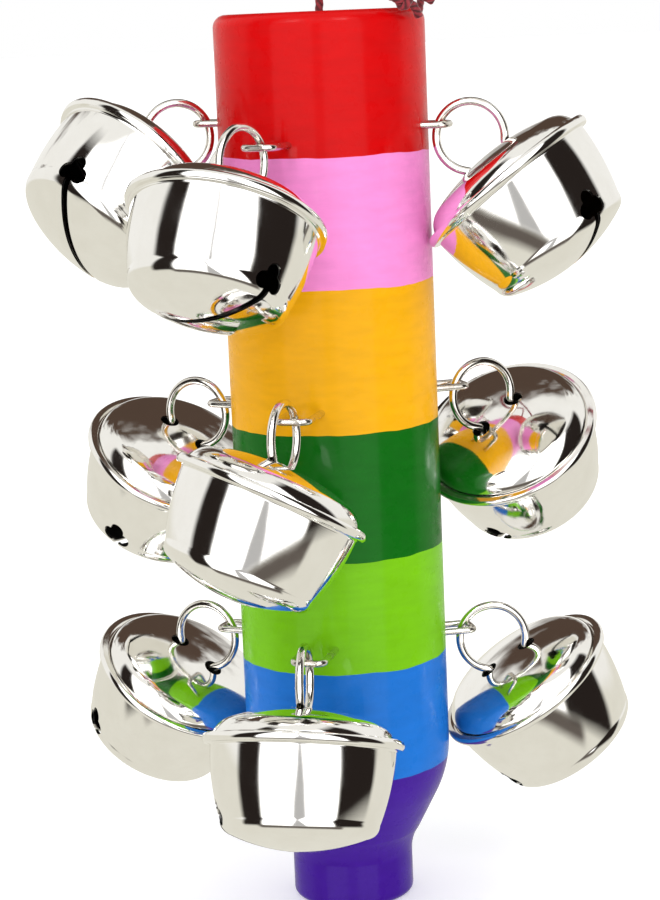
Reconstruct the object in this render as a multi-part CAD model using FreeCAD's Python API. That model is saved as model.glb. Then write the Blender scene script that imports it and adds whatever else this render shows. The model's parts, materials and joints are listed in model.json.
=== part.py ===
import FreeCAD, Part
import math
import os

# Hand-held sleigh bells: a turned, painted wooden stick with three rows of loose jingle bells.
# Units are millimetres. The origin is the middle of the stick's foot, and +Z runs up the stick.
# An azimuth is measured about Z: 0 looks out along -Y (the front) and 90 along +X (the right).

V = FreeCAD.Vector
UP = V(0, 0, 1)

# Stick
stick_length = 130.0
stick_radius = 15.0
top_round = 1.8
foot_radius = 8.9
foot_round = 0.9
foot_height = 6.4
shoulder_height = 23.0
cord_hole_radius = 1.5
cord_hole_depth = 8.0

# Wire loop of a bell: a ring whose two legs pass through the cap and are bent outward inside it
loop_wire_radius = 0.6
loop_radius = 4.9
leg_half_gap = 3.5
clinch_radius = 1.1
clinch_middle = 203.0
foot_reach = 5.6

# Shell of a bell: seam_drop is from the middle of its ring to the plane of its seam, and a point
# is its distance from the bell's axis and its height above the seam
seam_drop = 8.9
seam_radius = 14.0
sheet = 0.4
rim_low = 0.5
rim_high = 0.9

# Cap
cap_height = 5.4
cap_shoulder = (10.3, 3.7)
cap_side_middle = (12.0, 2.5)
cap_skirt_radius = 12.7
cap_rim_radius = 13.45
cap_inner_side_middle = (11.65, 2.2)
cap_inner_shoulder_radius = 10.1
leg_hole_radius = 1.4
leg_hole_offset = 3.4

# Cup
cup_depth = 14.2
crease = (9.6, -12.2)
crease_middle = (10.6, -11.4)
waist = (11.0, -10.2)
wall_middle = (12.35, -5.0)
mouth = (12.9, -0.4)
flange_middle = (13.0, -0.1)
flange = (13.3, 0.0)
inner_crease_radius = 9.35
inner_crease_middle = (10.2, -11.15)
hem_round = 0.3
hem_high = 1.3
hem_lip_radius = 13.0

# Sound slot, with a three-lobed opening at each end
slot_width = 1.1
lobe_radius = 1.15
lobe_depth = 10.3
lobe_side = 1.1
side_lobe_rise = 0.3
top_lobe_rise = 1.7

# Pellet
pellet_radius = 2.4
pellet_depth = 9.9
pellet_offset = 7.2

# Staple that holds a loop against the wood
staple_wire_radius = 0.5
staple_half_width = 2.2
staple_bend = 1.1
staple_leg = 11.0
staple_angle = 30.0
staple_gap = 0.12

# Clearance between a loop's wire and the wood, with the staple driven fully home
loop_gap = 0.2

# Cord
cord_radius = 0.6
knot_radius = 2.1

# Each bell: name, height of its loop, azimuth of its staple, azimuth that its loop faces,
# hang of the bell outward from straight down, rock about the loop's feet, turn of its sound slot,
# and how far its staple stands out of the wood beyond fully home. Angles are in degrees.
BELLS = [
    ("upper_front", 110.2, -26.0, -37.0, 31.0, 5.0, 82.0, 2.7),
    ("upper_right", 111.8, 76.0, 75.0, 38.5, 0.0, 318.0, 0.6),
    ("upper_back", 111.4, 190.0, 190.0, 38.0, -4.0, 30.0, 0.9),
    ("upper_left", 113.0, -102.0, -71.0, 52.0, 16.0, 40.0, 0.8),
    ("middle_front", 73.0, -15.0, -20.0, 22.0, -20.0, 112.0, 4.8),
    ("middle_right", 73.2, 106.0, 116.0, 35.0, 20.0, 200.0, 2.4),
    ("middle_left", 71.6, -117.0, -119.0, 32.0, -10.0, 94.0, 2.4),
    ("lower_front", 39.0, -14.0, -8.0, 21.0, -2.0, 286.0, 4.8),
    ("lower_right", 37.0, 101.0, 91.0, 34.0, 8.0, 20.0, 1.8),
    ("lower_left", 37.6, -113.0, -119.0, 34.0, -4.0, 58.0, 2.0),
]

# Cord: out of the hole in the top, over the back edge, down, back up and round to its knot
CORD_POINTS = [
    (0.0, 0.0, 122.0),
    (0.0, 0.0, 128.2),
    (0.5, 0.4, 134.7),
    (4.9, 5.0, 136.9),
    (9.6, 10.9, 136.4),
    (13.6, 16.3, 132.6),
    (13.9, 17.3, 125.0),
    (13.4, 16.9, 117.2),
    (13.7, 16.6, 109.6),
    (13.9, 17.0, 101.6),
    (14.6, 25.5, 101.0),
    (14.9, 25.8, 109.2),
    (14.4, 24.6, 117.4),
    (14.6, 22.4, 125.6),
    (15.4, 16.8, 132.4),
    (16.9, 9.0, 135.4),
    (17.0, 0.8, 134.6),
    (14.9, -6.4, 133.0),
    (12.4, -10.3, 131.9),
]
KNOT_CENTRE = (11.5, -11.5, 131.4)
KNOT_TAILS = [
    [(12.0, -10.9, 130.9), (13.3, -9.6, 130.6), (13.9, -8.6, 128.6)],
    [(12.6, -10.8, 131.7), (14.6, -9.6, 131.6), (15.8, -8.2, 130.7)],
]
tail_radius = 0.5


def outward(azimuth):
    """Unit vector out of the stick at an azimuth in degrees."""
    angle = math.radians(azimuth)
    return V(math.sin(angle), -math.cos(angle), 0)


def frame(origin, x_axis, z_axis):
    """Placement whose local X and Z run along the given directions."""
    y_axis = z_axis.cross(x_axis)
    return FreeCAD.Placement(origin, FreeCAD.Rotation(x_axis, y_axis, z_axis, "ZXY"))


def revolved(edges):
    """Solid of a closed outline in the XZ plane, turned about Z."""
    face = Part.Face(Part.Wire(edges))
    return face.revolve(V(0, 0, 0), UP, 360)


def line(start, end):
    return Part.LineSegment(V(start[0], 0, start[1]), V(end[0], 0, end[1])).toShape()


def arc(start, middle, end):
    points = [V(p[0], 0, p[1]) for p in (start, middle, end)]
    return Part.Arc(*points).toShape()


def crown(top, edge, inset, inset_edge_radius):
    """Points on the axis, half way out and at the edge of a ball-shaped crown, inset from its outer face."""
    rise = top - edge[1]
    ball = (edge[0] ** 2 + rise ** 2) / (2 * rise)
    size = abs(ball) - inset
    points = []
    for radius in (0.0, inset_edge_radius / 2, inset_edge_radius):
        height = math.copysign(math.sqrt(size ** 2 - radius ** 2), rise)
        points.append((radius, top - ball + height))
    return points


def wire_along(edges, radius):
    """Round wire of the given radius along a smooth path of edges."""
    path = Part.Wire(edges)
    first = edges[0]
    start = first.valueAt(first.FirstParameter)
    heading = first.tangentAt(first.FirstParameter)
    section = Part.Wire(Part.makeCircle(radius, start, heading))
    return path.makePipeShell([section], True, True)


# Stick

def make_stick(staples):
    r = stick_radius
    top = stick_length
    f = foot_radius
    corner = 1 - math.sqrt(0.5)
    edges = [
        line((0, 0), (f - foot_round, 0)),
        arc((f - foot_round, 0), (f - corner * foot_round, corner * foot_round), (f, foot_round)),
        line((f, foot_round), (f, foot_height)),
        arc((f, foot_height), (9.25, 8.2), (10.2, 10.0)),
        line((10.2, 10.0), (12.9, 15.2)),
        arc((12.9, 15.2), (14.4, 18.9), (r, shoulder_height)),
        line((r, shoulder_height), (r, top - top_round)),
        arc((r, top - top_round), (r - corner * top_round, top - corner * top_round),
            (r - top_round, top)),
        line((r - top_round, top), (0, top)),
        line((0, top), (0, 0)),
    ]
    stick = revolved(edges)
    hole_foot = V(0, 0, stick_length - cord_hole_depth)
    cord_hole = Part.makeCylinder(cord_hole_radius, cord_hole_depth, hole_foot)
    return stick.cut([cord_hole] + staples)


# Staples

def make_staple(bell):
    """U-shaped wire staple whose legs run straight into the stick and whose crown holds a loop."""
    centre, facing = loop_centre(bell)
    angle = math.radians(staple_angle)
    reach = loop_radius - loop_wire_radius - staple_wire_radius - staple_gap
    crown = centre - facing * (reach * math.cos(angle)) + UP * (reach * math.sin(angle))
    w = staple_half_width
    b = staple_bend
    corner = (1 - math.sqrt(0.5)) * b
    edges = [
        line((-w, -staple_leg), (-w, -b)),
        arc((-w, -b), (-w + corner, -corner), (-w + b, 0)),
        line((-w + b, 0), (w - b, 0)),
        arc((w - b, 0), (w - corner, -corner), (w, -b)),
        line((w, -b), (w, -staple_leg)),
    ]
    staple = wire_along(edges, staple_wire_radius)
    out = outward(bell[2])
    staple.Placement = frame(crown, UP.cross(out), out)
    return staple


# Bells

def loop_centre(bell):
    """Middle of a bell's wire ring, and the horizontal direction in the ring's plane."""
    height, azimuth, facing_azimuth, stand_out = bell[1], bell[2], bell[3], bell[7]
    facing = outward(facing_azimuth)
    wood_side = stick_radius + loop_gap + loop_wire_radius + stand_out
    centre = outward(azimuth) * wood_side + facing * loop_radius + UP * height
    return centre, facing


def clinch_depth():
    """Depth of the loop's bent feet below the middle of its ring."""
    hole_depth = math.sqrt(loop_radius ** 2 - leg_half_gap ** 2)
    return hole_depth + clinch_radius * (leg_half_gap / loop_radius + 1)


def loop_frame(bell):
    """Frame at the ring's middle: Z up the bell's axis, X across it in the ring's plane."""
    centre, facing = loop_centre(bell)
    hang = math.radians(bell[4])
    across = facing * math.cos(hang) + UP * math.sin(hang)
    along = UP * math.cos(hang) - facing * math.sin(hang)
    return frame(centre, across, along)


def shell_frame(bell):
    """Frame at the middle of the seam, Z up the bell's axis, after the bell rocks on its feet."""
    rock = FreeCAD.Rotation(V(1, 0, 0), bell[5])
    pivot = FreeCAD.Placement(V(0, 0, -clinch_depth()), rock)
    drop = FreeCAD.Placement(V(0, 0, clinch_depth() - seam_drop), FreeCAD.Rotation())
    return loop_frame(bell).multiply(pivot).multiply(drop)


def make_loop():
    """Wire ring with its two legs clinched outward below, in the loop frame."""
    g = leg_half_gap
    h = -math.sqrt(loop_radius ** 2 - g ** 2)
    c = clinch_radius
    bend_x = g - h / loop_radius * c
    bend_z = h - g / loop_radius * c
    low = bend_z - c
    middle = math.radians(clinch_middle)
    bend_mid = (bend_x + c * math.cos(middle), bend_z + c * math.sin(middle))
    edges = [
        line((-foot_reach, low), (-bend_x, low)),
        arc((-bend_x, low), (-bend_mid[0], bend_mid[1]), (-g, h)),
        arc((-g, h), (0, loop_radius), (g, h)),
        arc((g, h), bend_mid, (bend_x, low)),
        line((bend_x, low), (foot_reach, low)),
    ]
    return wire_along(edges, loop_wire_radius)


def make_cap():
    """Pressed dome of a bell with its flat rim and two leg holes, in the shell frame."""
    skirt = (cap_skirt_radius, rim_high)
    inner_skirt = (cap_skirt_radius - sheet, rim_low)
    outer_crown = crown(cap_height, cap_shoulder, 0.0, cap_shoulder[0])
    inner_crown = crown(cap_height, cap_shoulder, sheet, cap_inner_shoulder_radius)
    edges = [
        arc(*outer_crown),
        arc(cap_shoulder, cap_side_middle, skirt),
        line(skirt, (cap_rim_radius, rim_high)),
        line((cap_rim_radius, rim_high), (cap_rim_radius, rim_low)),
        line((cap_rim_radius, rim_low), inner_skirt),
        arc(inner_skirt, cap_inner_side_middle, inner_crown[2]),
        arc(inner_crown[2], inner_crown[1], inner_crown[0]),
        line(inner_crown[0], outer_crown[0]),
    ]
    cap = revolved(edges)
    holes = []
    for side in (-1, 1):
        foot = V(0, side * leg_hole_offset, 0)
        holes.append(Part.makeCylinder(leg_hole_radius, cap_height, foot))
    cap = cap.cut(holes)
    cap.rotate(V(0, 0, 0), UP, 90)
    return cap


def make_cup(turn):
    """Pressed cup of a bell, hemmed over the cap's rim, with its sound slot, in the shell frame."""
    hem = seam_radius - hem_round
    inner_mouth = (mouth[0] - sheet, mouth[1])
    inner_waist = (waist[0] - sheet, waist[1])
    inner_wall_middle = (wall_middle[0] - sheet, wall_middle[1])
    outer_crown = crown(-cup_depth, crease, 0.0, crease[0])
    inner_crown = crown(-cup_depth, crease, sheet, inner_crease_radius)
    edges = [
        arc(*outer_crown),
        arc(crease, crease_middle, waist),
        arc(waist, wall_middle, mouth),
        arc(mouth, flange_middle, flange),
        line(flange, (hem, 0)),
        arc((hem, 0), (seam_radius, hem_high / 2), (hem, hem_high)),
        line((hem, hem_high), (hem_lip_radius, hem_high)),
        line((hem_lip_radius, hem_high), (hem_lip_radius, rim_high)),
        line((hem_lip_radius, rim_high), (cap_rim_radius, rim_high)),
        line((cap_rim_radius, rim_high), (cap_rim_radius, rim_low)),
        line((cap_rim_radius, rim_low), (inner_mouth[0], rim_low)),
        line((inner_mouth[0], rim_low), inner_mouth),
        arc(inner_mouth, inner_wall_middle, inner_waist),
        arc(inner_waist, inner_crease_middle, inner_crown[2]),
        arc(inner_crown[2], inner_crown[1], inner_crown[0]),
        line(inner_crown[0], outer_crown[0]),
    ]
    cup = revolved(edges)
    slot_foot = -cup_depth - 1
    slot_corner = V(-slot_width / 2, -seam_radius, slot_foot)
    cuts = [Part.makeBox(slot_width, 2 * seam_radius, -lobe_depth - slot_foot, slot_corner)]
    lobes = [(-lobe_side, side_lobe_rise), (lobe_side, side_lobe_rise), (0.0, top_lobe_rise)]
    for side in (-1, 1):
        for sideways, rise in lobes:
            start = V(sideways, side * (waist[0] - 3), rise - lobe_depth)
            cuts.append(Part.makeCylinder(lobe_radius, 6, start, V(0, side, 0)))
    cup = cup.cut(cuts)
    cup.rotate(V(0, 0, 0), UP, turn - 90)
    return cup


def pellet_place(bell):
    """Middle of the pellet, which lies in the lowest corner of the tilted cup."""
    shell = shell_frame(bell)
    lowest = shell.Rotation.inverted().multVec(V(0, 0, -1))
    lowest.z = 0
    lowest.normalize()
    return shell.multVec(lowest * pellet_offset - UP * pellet_depth)


# Cord

def cord_path(points):
    """Straight runs joined by tangent arcs, with each arc's radius, in mm."""
    corners = [V(*p) for p in points]
    edges = []
    radii = []
    last = corners[0]
    for before, here, after in zip(corners, corners[1:], corners[2:]):
        run_in = before - here
        run_out = after - here
        trim = 0.45 * min(run_in.Length, run_out.Length)
        run_in.normalize()
        run_out.normalize()
        half_turn = (math.pi - run_in.getAngle(run_out)) / 2
        radius = trim / math.tan(half_turn)
        bisector = run_in + run_out
        bisector.normalize()
        start = here + run_in * trim
        end = here + run_out * trim
        middle = here + bisector * (radius / math.cos(half_turn) - radius)
        edges.append(Part.LineSegment(last, start).toShape())
        edges.append(Part.Arc(start, middle, end).toShape())
        radii.append(radius)
        last = end
    edges.append(Part.LineSegment(last, corners[-1]).toShape())
    return edges, radii


def make_cord():
    edges, radii = cord_path(CORD_POINTS)
    cord = wire_along(edges, cord_radius)
    length = sum(edge.Length for edge in edges)
    print("cord radii", [round(radius, 1) for radius in radii])
    print("cord length", round(length, 1))
    print("cord volume / (section x length)", round(cord.Volume / (length * math.pi * cord_radius ** 2), 4))
    return cord


def make_knot(cord):
    """Overhand knot at the cord's end, as one lump with two short tails."""
    knot = Part.makeSphere(knot_radius, V(*KNOT_CENTRE))
    for tail in KNOT_TAILS:
        edges, radii = cord_path(tail)
        knot = knot.fuse(wire_along(edges, tail_radius))
    return knot.removeSplitter().cut(cord)


def placed(shape, placement):
    copy = shape.copy()
    copy.Placement = placement.multiply(copy.Placement)
    return copy


def build():
    parts = {}
    staples = [make_staple(bell) for bell in BELLS]
    parts["staples"] = Part.makeCompound(staples)
    parts["stick"] = make_stick(staples)
    parts["cord"] = make_cord()
    parts["cord_knot"] = make_knot(parts["cord"])
    loop = make_loop()
    cap = make_cap()
    for bell in BELLS:
        name = bell[0]
        parts[name + "_loop"] = placed(loop, loop_frame(bell))
        parts[name + "_cap"] = placed(cap, shell_frame(bell))
        parts[name + "_cup"] = placed(make_cup(bell[6]), shell_frame(bell))
        parts[name + "_pellet"] = Part.makeSphere(pellet_radius, pellet_place(bell))
    return parts


os.makedirs("parts", exist_ok=True)
PARTS = build()
for node, shape in PARTS.items():
    shape.exportStep("parts/" + node + ".step")
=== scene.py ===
import json
import math

import bmesh
import bpy
import numpy as np
from mathutils import Matrix, Vector, noise
from mathutils.geometry import delaunay_2d_cdt


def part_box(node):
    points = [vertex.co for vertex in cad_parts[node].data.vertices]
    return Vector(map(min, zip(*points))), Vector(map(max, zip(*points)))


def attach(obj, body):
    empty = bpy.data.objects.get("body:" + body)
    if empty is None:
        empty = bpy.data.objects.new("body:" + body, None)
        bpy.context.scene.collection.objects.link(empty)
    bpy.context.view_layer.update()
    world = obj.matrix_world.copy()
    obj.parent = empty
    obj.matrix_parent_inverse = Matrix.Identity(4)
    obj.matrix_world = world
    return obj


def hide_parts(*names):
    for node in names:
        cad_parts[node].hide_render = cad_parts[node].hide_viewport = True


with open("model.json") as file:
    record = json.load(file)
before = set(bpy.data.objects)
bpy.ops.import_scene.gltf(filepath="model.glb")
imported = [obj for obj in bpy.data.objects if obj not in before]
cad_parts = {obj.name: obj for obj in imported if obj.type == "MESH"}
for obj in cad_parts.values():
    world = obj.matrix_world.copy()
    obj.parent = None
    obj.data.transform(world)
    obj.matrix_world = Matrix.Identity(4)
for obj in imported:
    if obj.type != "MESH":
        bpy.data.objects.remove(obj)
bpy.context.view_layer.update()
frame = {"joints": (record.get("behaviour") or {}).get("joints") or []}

MM = 0.001

# ---------------------------------------------------------------- camera

# Fitted to the photograph, with lengths in metres, and the lens and the sensor in mm
CAMERA_PLACE = Vector((0.0, -0.350, 0.1287))
CAMERA_YAW = math.radians(-0.15)
CAMERA_PITCH = math.radians(-10.0)
CAMERA_ROLL = math.radians(-2.41)
CAMERA_LENS = 97.48
SENSOR_WIDTH = 36.0
NEAREST, FARTHEST = 0.01, 50.0


def make_camera():
    data = bpy.data.cameras.new("camera")
    data.sensor_width = SENSOR_WIDTH
    data.lens = CAMERA_LENS
    data.clip_start, data.clip_end = NEAREST, FARTHEST
    camera = bpy.data.objects.new("camera", data)
    bpy.context.scene.collection.objects.link(camera)
    flat, rise = math.cos(CAMERA_PITCH), math.sin(CAMERA_PITCH)
    ahead = Vector((math.sin(CAMERA_YAW) * flat, math.cos(CAMERA_YAW) * flat, rise))
    level = ahead.cross(Vector((0, 0, 1))).normalized()
    above = level.cross(ahead)
    right = level * math.cos(CAMERA_ROLL) + above * math.sin(CAMERA_ROLL)
    up = above * math.cos(CAMERA_ROLL) - level * math.sin(CAMERA_ROLL)
    turn = Matrix((right, up, -ahead)).transposed()
    camera.matrix_world = Matrix.Translation(CAMERA_PLACE) @ turn.to_4x4()
    bpy.context.scene.camera = camera


make_camera()

# ---------------------------------------------------------------- node helpers


def linear(code):
    """Linear colour of a hex sRGB code."""
    parts = [int(code[i:i + 2], 16) / 255 for i in (0, 2, 4)]
    return [c / 12.92 if c <= 0.04045 else ((c + 0.055) / 1.055) ** 2.4 for c in parts] + [1.0]


class Shader:
    """A material and a short way to add its nodes."""

    def __init__(self, name):
        self.material = bpy.data.materials.new(name)
        self.material.use_nodes = True
        self.tree = self.material.node_tree
        self.surface = self.tree.nodes["Principled BSDF"]

    def add(self, kind, inputs=None, **settings):
        node = self.tree.nodes.new(kind)
        for key, value in settings.items():
            setattr(node, key, value)
        for key, value in (inputs or {}).items():
            self.join(value, node.inputs[key])
        return node

    def join(self, value, socket):
        if isinstance(value, bpy.types.NodeSocket):
            self.tree.links.new(value, socket)
        else:
            socket.default_value = value

    def set(self, **values):
        """Sets the surface's sockets, with _ for a space."""
        for key, value in values.items():
            self.join(value, self.surface.inputs[key.replace("_", " ")])

    def place(self):
        return self.add("ShaderNodeTexCoord").outputs["Object"]

    def stored(self, name):
        return self.add("ShaderNodeAttribute", attribute_name=name)

    def noise(self, vector, scale, detail=3.0, roughness=0.55):
        inputs = {"Vector": vector, "Scale": scale, "Detail": detail, "Roughness": roughness}
        return self.add("ShaderNodeTexNoise", inputs).outputs["Fac"]

    def spread(self, value, source, target):
        """Maps the range source to the range target, and holds the ends."""
        inputs = {"Value": value, "From Min": source[0], "From Max": source[1],
                  "To Min": target[0], "To Max": target[1]}
        return self.add("ShaderNodeMapRange", inputs).outputs["Result"]

    def part(self, vector, axis):
        """A vector's X, Y or Z."""
        return self.add("ShaderNodeSeparateXYZ", {"Vector": vector}).outputs[axis]

    def math(self, operation, a, b=0.0, c=0.0):
        return self.add("ShaderNodeMath", {0: a, 1: b, 2: c}, operation=operation).outputs[0]

    def mix(self, factor, a, b, blend="MIX"):
        node = self.add("ShaderNodeMix", data_type="RGBA", blend_type=blend)
        for key, value in (("Factor_Float", factor), ("A_Color", a), ("B_Color", b)):
            self.join(value, next(s for s in node.inputs if s.identifier == key))
        return next(s for s in node.outputs if s.identifier == "Result_Color")

    def scaled(self, vector, size):
        return self.add("ShaderNodeMapping", {"Vector": vector, "Scale": size}).outputs["Vector"]

    def bump(self, height, strength, distance, normal=None):
        inputs = {"Height": height, "Strength": strength, "Distance": distance}
        if normal is not None:
            inputs["Normal"] = normal
        return self.add("ShaderNodeBump", inputs).outputs["Normal"]


# ---------------------------------------------------------------- materials

# Top of each painted band, in mm up the stick, and its colour, from the foot
BANDS = [
    (20.6, "45189A"),
    (36.7, "1F78D8"),
    (53.0, "7DCB10"),
    (71.4, "0E6B12"),
    (91.5, "F9B40A"),
    (109.7, "FF96DC"),
    (130.0, "D60003"),
]
STICK_LENGTH = 130.0
# How far a border between two bands wanders up and down, in metres
BORDER_WAVE = 0.0009
# Brush marks run round the stick, and the wood's grain runs along it
BRUSH_SCALE = (220.0, 220.0, 900.0)
GRAIN_SCALE = (900.0, 900.0, 60.0)

BLACK = [0.0, 0.0, 0.0, 1.0]
WHITE = [1.0, 1.0, 1.0, 1.0]
FLOOR_DARK = [0.90, 0.90, 0.90, 1.0]
FLOOR_LIGHT = [0.93, 0.93, 0.93, 1.0]
# The yarn's two tones, and a near-black maroon that is painted shade for the grooves between
# strands
YARN_DARK, YARN_LIGHT, YARN_GROOVE_SHADE = (linear(code) for code in ("7A1420", "A32A36", "2C0509"))
FADED_PAINT = [0.75, 0.55, 0.7, 1.0]
NICKEL_CLEAN = [0.93, 0.92, 0.90, 1.0]
NICKEL_SMEARED = [0.84, 0.82, 0.78, 1.0]
# Colour of a bell's inner faces: painted shade, much darker than the nickel itself
NICKEL_INSIDE_SHADE = [0.075, 0.07, 0.065, 1.0]
# Lathe marks on a shell, per mm of its height
LATHE_SCALE = 9.0


def paint_material():
    """Gloss enamel in seven bands, brushed round by hand, with wavy borders."""
    s = Shader("painted_wood")
    place = s.place()
    border = s.noise(place, scale=130.0, detail=2.0)
    border = s.math("MULTIPLY_ADD", border, BORDER_WAVE, -BORDER_WAVE / 2)
    level = s.math("ADD", s.part(place, "Z"), border)
    level = s.math("DIVIDE", level, STICK_LENGTH * MM)
    ramp = s.add("ShaderNodeValToRGB", {"Fac": level})
    ramp.color_ramp.interpolation = "CONSTANT"
    stops = ramp.color_ramp.elements
    low = 0.0
    for i, (top, code) in enumerate(BANDS):
        stop = stops[i] if i < 2 else stops.new(low)
        stop.position = low
        stop.color = linear(code)
        low = top / STICK_LENGTH
    colour = ramp.outputs["Color"]
    brushed = s.noise(s.scaled(place, BRUSH_SCALE), scale=1.0, detail=4.0)
    colour = s.mix(s.spread(brushed, (0.3, 0.7), (0.08, 0.17)), colour, BLACK)
    cloud = s.spread(s.noise(place, scale=55.0, detail=2.0), (0.35, 0.75), (0.0, 0.08))
    colour = s.mix(cloud, colour, s.mix(1.0, colour, FADED_PAINT, "MULTIPLY"))
    s.set(Base_Color=colour, Specular_IOR_Level=0.08, Coat_Weight=0.1, Coat_Roughness=0.05)
    rubbed = s.noise(place, scale=420.0, detail=3.0)
    grain = s.noise(s.scaled(place, GRAIN_SCALE), scale=1.0, detail=3.0)
    peel = s.noise(place, scale=700.0, detail=2.0)
    normal = s.bump(grain, strength=0.25, distance=0.00006)
    normal = s.bump(peel, strength=0.25, distance=0.00005, normal=normal)
    s.set(Roughness=s.spread(rubbed, (0.3, 0.7), (0.22, 0.38)), Normal=normal)
    return s.material


def nickel_material():
    """Polished nickel plate on spun sheet, dull inside the bell and darkened there by painted
    shade.
    """
    s = Shader("nickel")
    local = s.stored("shell").outputs["Vector"]
    inside = s.stored("inside").outputs["Fac"]
    place = s.place()
    smear = s.noise(place, scale=260.0, detail=4.0, roughness=0.6)
    spun = s.math("MULTIPLY", s.part(local, "Z"), LATHE_SCALE)
    spun = s.add("ShaderNodeCombineXYZ", {"X": spun}).outputs["Vector"]
    lathe = s.noise(spun, scale=1.0, detail=3.0)
    bright = s.mix(s.spread(smear, (0.35, 0.7), (0.0, 0.35)), NICKEL_CLEAN, NICKEL_SMEARED)
    # Painted shade: the inner faces take a near-black colour; the extra roughness below is the
    # real duller finish
    colour = s.mix(inside, bright, NICKEL_INSIDE_SHADE)
    polish = s.spread(smear, (0.3, 0.75), (0.035, 0.12))
    rough = s.math("MULTIPLY_ADD", inside, 0.45, polish)
    dents = s.noise(place, scale=95.0, detail=2.0, roughness=0.4)
    normal = s.bump(dents, strength=0.35, distance=0.00035)
    normal = s.bump(lathe, strength=0.12, distance=0.00002, normal=normal)
    s.set(Base_Color=colour, Metallic=1.0, Roughness=rough, Normal=normal)
    return s.material


def wire_material(name, bright, dull, polish):
    """Drawn wire with a fine rough grain and duller patches.

    polish is the roughness of its brightest and of its dullest parts.
    """
    s = Shader(name)
    place = s.place()
    patch = s.noise(place, scale=500.0, detail=4.0, roughness=0.6)
    colour = s.mix(s.spread(patch, (0.35, 0.7), (0.0, 1.0)), bright, dull)
    grain = s.bump(s.noise(place, scale=1500.0, detail=2.0), strength=0.2, distance=0.00003)
    rough = s.spread(patch, (0.3, 0.7), polish)
    s.set(Base_Color=colour, Metallic=1.0, Roughness=rough, Normal=grain)
    return s.material


def cord_material():
    """Twisted maroon yarn, with painted shade darkening the grooves between its strands."""
    s = Shader("cord_yarn")
    place = s.place()
    groove = s.stored("groove").outputs["Fac"]
    fibre = s.noise(place, scale=2600.0, detail=3.0)
    tone = s.mix(s.spread(fibre, (0.3, 0.7), (0.0, 1.0)), YARN_DARK, YARN_LIGHT)
    # Painted shade: the colour goes toward near-black maroon as the groove between strands deepens
    s.set(Base_Color=s.mix(groove, tone, YARN_GROOVE_SHADE))
    s.set(Roughness=s.spread(fibre, (0.2, 0.8), (0.6, 0.85)))
    s.set(Sheen_Weight=0.35, Sheen_Roughness=0.4)
    s.set(Normal=s.bump(fibre, strength=0.5, distance=0.00008))
    return s.material


def floor_material():
    """A plain pale floor that glows a little, so that it stays pale far out."""
    s = Shader("studio_floor")
    speck = s.noise(s.place(), scale=30.0, detail=3.0)
    s.set(Base_Color=s.mix(speck, FLOOR_DARK, FLOOR_LIGHT), Roughness=0.75)
    s.set(Emission_Color=WHITE, Emission_Strength=0.3)
    return s.material


PAINT = paint_material()
NICKEL = nickel_material()
LOOP_WIRE = wire_material("loop_wire", bright=[0.88, 0.86, 0.82, 1.0],
                          dull=[0.62, 0.58, 0.52, 1.0], polish=(0.06, 0.2))
STAPLE_WIRE = wire_material("staple_wire", bright=[0.80, 0.78, 0.74, 1.0],
                            dull=[0.55, 0.5, 0.43, 1.0], polish=(0.12, 0.32))
STEEL = wire_material("pellet_steel", bright=[0.42, 0.41, 0.40, 1.0],
                      dull=[0.22, 0.2, 0.18, 1.0], polish=(0.3, 0.55))
YARN = cord_material()

# ---------------------------------------------------------------- mesh helpers

# A tube's softened end, as shares of its radius: the bevel's length and the end's size
BEVEL_LENGTH, END_SIZE = 0.35, 0.6
# The depth of a tube's deepest groove, as a share of its radius
GROOVE_DEPTH = 0.22


def add_piece(mesh, material, body, replaced):
    """Adds the piece that stands for one CAD node, named after its mesh."""
    mesh.materials.append(material)
    piece = bpy.data.objects.new(mesh.name, mesh)
    bpy.context.scene.collection.objects.link(piece)
    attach(piece, body)
    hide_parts(replaced)
    return piece


def tube_mesh(name, paths, radius, sides, groove=None):
    """Meshes tubes with softened ends along paths in metres.

    groove(along, angle) is how deep the surface lies, 0 to 1.
    """
    verts, faces, depths = [], [], []
    for path in paths:
        line = [Vector(p) for p in path]
        final = len(line) - 1
        heads = [(line[min(i + 1, final)] - line[max(i - 1, 0)]).normalized()
                 for i in range(len(line))]
        side = heads[0].orthogonal().normalized()
        rings = []
        along = 0.0
        for i, (point, head) in enumerate(zip(line, heads)):
            side = (side - head * side.dot(head)).normalized()
            along += (point - line[i - 1]).length if i else 0.0
            rings.append((point, head, side, radius, along))
        (p0, h0, s0, _, a0), (p1, h1, s1, _, a1) = rings[0], rings[-1]
        bevel, end = radius * BEVEL_LENGTH, radius * END_SIZE
        rings[0] = (p0 + h0 * bevel, h0, s0, radius, a0)
        rings[-1] = (p1 - h1 * bevel, h1, s1, radius, a1)
        rings = [(p0, h0, s0, end, a0)] + rings + [(p1, h1, s1, end, a1)]
        base = len(verts)
        for point, head, across, size, distance in rings:
            other = head.cross(across)
            for k in range(sides):
                angle = 2 * math.pi * k / sides
                depth = groove(distance, angle) if groove else 0.0
                out = across * math.cos(angle) + other * math.sin(angle)
                verts.append(point + out * size * (1 - GROOVE_DEPTH * depth))
                depths.append(depth)
        for i in range(len(rings) - 1):
            for k in range(sides):
                a, b = base + i * sides + k, base + i * sides + (k + 1) % sides
                faces.append((a, b, b + sides, a + sides))
        faces.append(tuple(base + k for k in reversed(range(sides))))
        faces.append(tuple(base + (len(rings) - 1) * sides + k for k in range(sides)))
    mesh = bpy.data.meshes.new(name)
    mesh.from_pydata(verts, [], faces)
    mesh.shade_smooth()
    if groove:
        mesh.attributes.new("groove", "FLOAT", "POINT").data.foreach_set("value", depths)
    return mesh


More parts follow.
